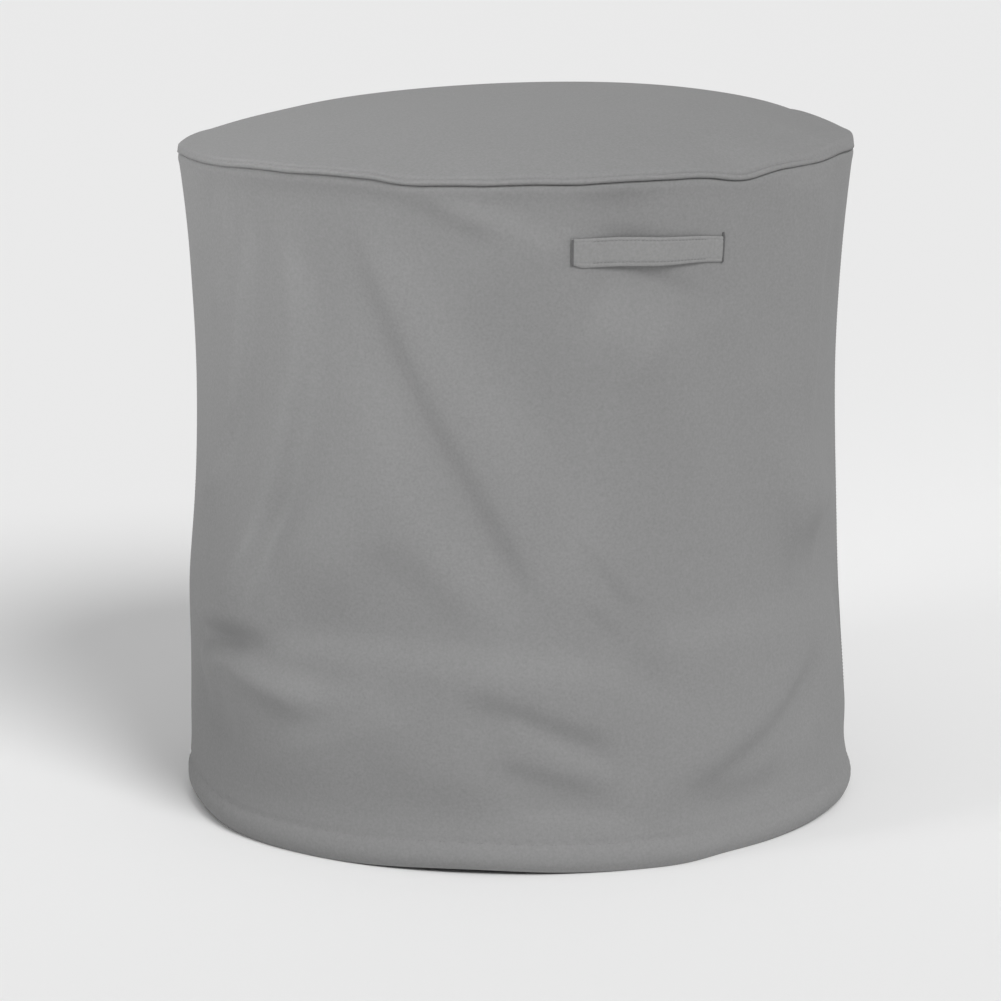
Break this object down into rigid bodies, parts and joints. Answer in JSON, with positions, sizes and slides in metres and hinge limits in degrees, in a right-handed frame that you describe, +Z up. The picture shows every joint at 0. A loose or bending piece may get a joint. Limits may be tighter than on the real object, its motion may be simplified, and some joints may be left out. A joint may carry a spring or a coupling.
{
  "type": "grill cover",
  "caption": "Round drape cover for a barbecue grill: domed top, corded rim piping, seamed skirt with a turned hem, and carrying straps sewn on opposite sides.",
  "frame": {"origin": "middle of the hem's lower edge, on the surface that the cover stands on", "axes": "+Z up, -Y towards the front with its strap to the right of the middle, +X to the cover's right as seen from the front"},
  "size_m": [0.816, 0.7426, 0.8475],
  "materials": {
    "cover_cloth": "plain-woven coated polyester, matt mid grey",
    "piping_filler": "twisted white filler cord",
    "lining_tape": "dark woven binding tape",
    "webbing": "black polypropylene webbing",
    "sewing_thread": "bonded polyester thread, darker grey"
  },
  "bodies": {
    "cover": {"top_panel": "cover_cloth", "front_skirt_panel": "cover_cloth", "rear_skirt_panel": "cover_cloth", "piping_wrap": "cover_cloth", "piping_cord": "piping_filler", "rim_seam_binding": "lining_tape", "left_side_seam_tape": "lining_tape", "right_side_seam_tape": "lining_tape", "front_hem_facing": "cover_cloth", "rear_hem_facing": "cover_cloth", "front_handle_left_end": "cover_cloth", "front_handle_right_end": "cover_cloth", "front_handle_left_bar_tack": "sewing_thread", "front_handle_right_bar_tack": "sewing_thread", "front_handle_backing": "cover_cloth", "rear_handle_left_end": "cover_cloth", "rear_handle_right_end": "cover_cloth", "rear_handle_left_bar_tack": "sewing_thread", "rear_handle_right_bar_tack": "sewing_thread", "rear_handle_backing": "cover_cloth"},
    "front_handle": {"front_handle_strap": "cover_cloth", "front_handle_core": "webbing"},
    "rear_handle": {"rear_handle_strap": "cover_cloth", "rear_handle_core": "webbing"}
  },
  "joints": [
    {"name": "front_handle_swing", "type": "hinge", "parent": "cover", "child": "front_handle", "pos_m": [0.15054, -0.3318, 0.71], "axis": [0.9357, 0.3527, 0], "range_deg": [-15, 15], "stiffness_Nm_per_rad": 0.05},
    {"name": "rear_handle_swing", "type": "hinge", "parent": "cover", "child": "rear_handle", "pos_m": [-0.15054, 0.3318, 0.71], "axis": [-0.9357, -0.3527, 0], "range_deg": [-15, 15], "stiffness_Nm_per_rad": 0.05}
  ]
}
